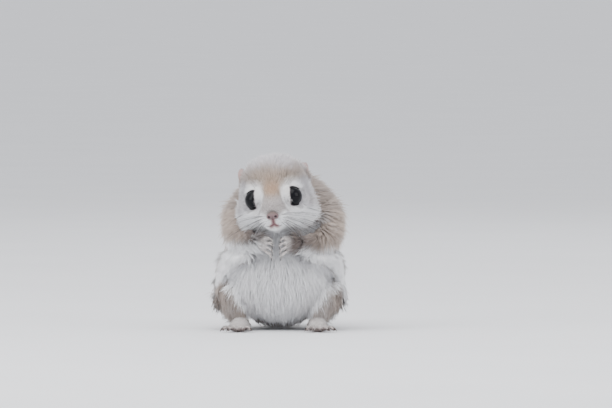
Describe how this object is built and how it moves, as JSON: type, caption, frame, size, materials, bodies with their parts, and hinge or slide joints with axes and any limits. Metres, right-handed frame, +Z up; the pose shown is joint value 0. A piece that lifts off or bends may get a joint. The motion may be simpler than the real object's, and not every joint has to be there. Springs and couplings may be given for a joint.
{
  "type": "flying squirrel",
  "caption": "Life-size still model of a small flying squirrel sitting up, paws together under its chin, furred gliding folds at its sides, flat tail raised along its back.",
  "frame": {"origin": "middle of the underside of the whole animal's box, on the floor it sits on", "axes": "+Z up, the animal faces -Y and its tail is towards +Y, its left side is +X"},
  "size_m": [0.0724, 0.1059, 0.0907],
  "materials": {
    "back_fur": "soft greyish brown winter fur with pale tips",
    "head_fur": "short greyish brown fur, warmer on the brow, white on the cheeks and round the eyes",
    "belly_fur": "soft white winter fur",
    "paw": "thinly furred pale pinkish skin",
    "ear_skin": "thin, nearly bare pinkish grey skin",
    "nose_skin": "bare, slightly moist pinkish grey skin",
    "eye": "wet and glossy, nearly black",
    "claw": "smooth dark horn"
  },
  "bodies": {
    "root": {"torso": "belly_fur", "head": "head_fur", "tail_base": "back_fur", "tail_middle": "back_fur", "tail_end": "back_fur", "arm_left": "back_fur", "arm_right": "back_fur", "leg_left": "back_fur", "leg_right": "back_fur", "membrane_left": "belly_fur", "membrane_right": "belly_fur", "hand_left": "paw", "hand_right": "paw", "foot_left": "paw", "foot_right": "paw", "ear_left": "ear_skin", "ear_right": "ear_skin", "eye_left": "eye", "eye_right": "eye", "nose": "nose_skin"}
  },
  "joints": []
}
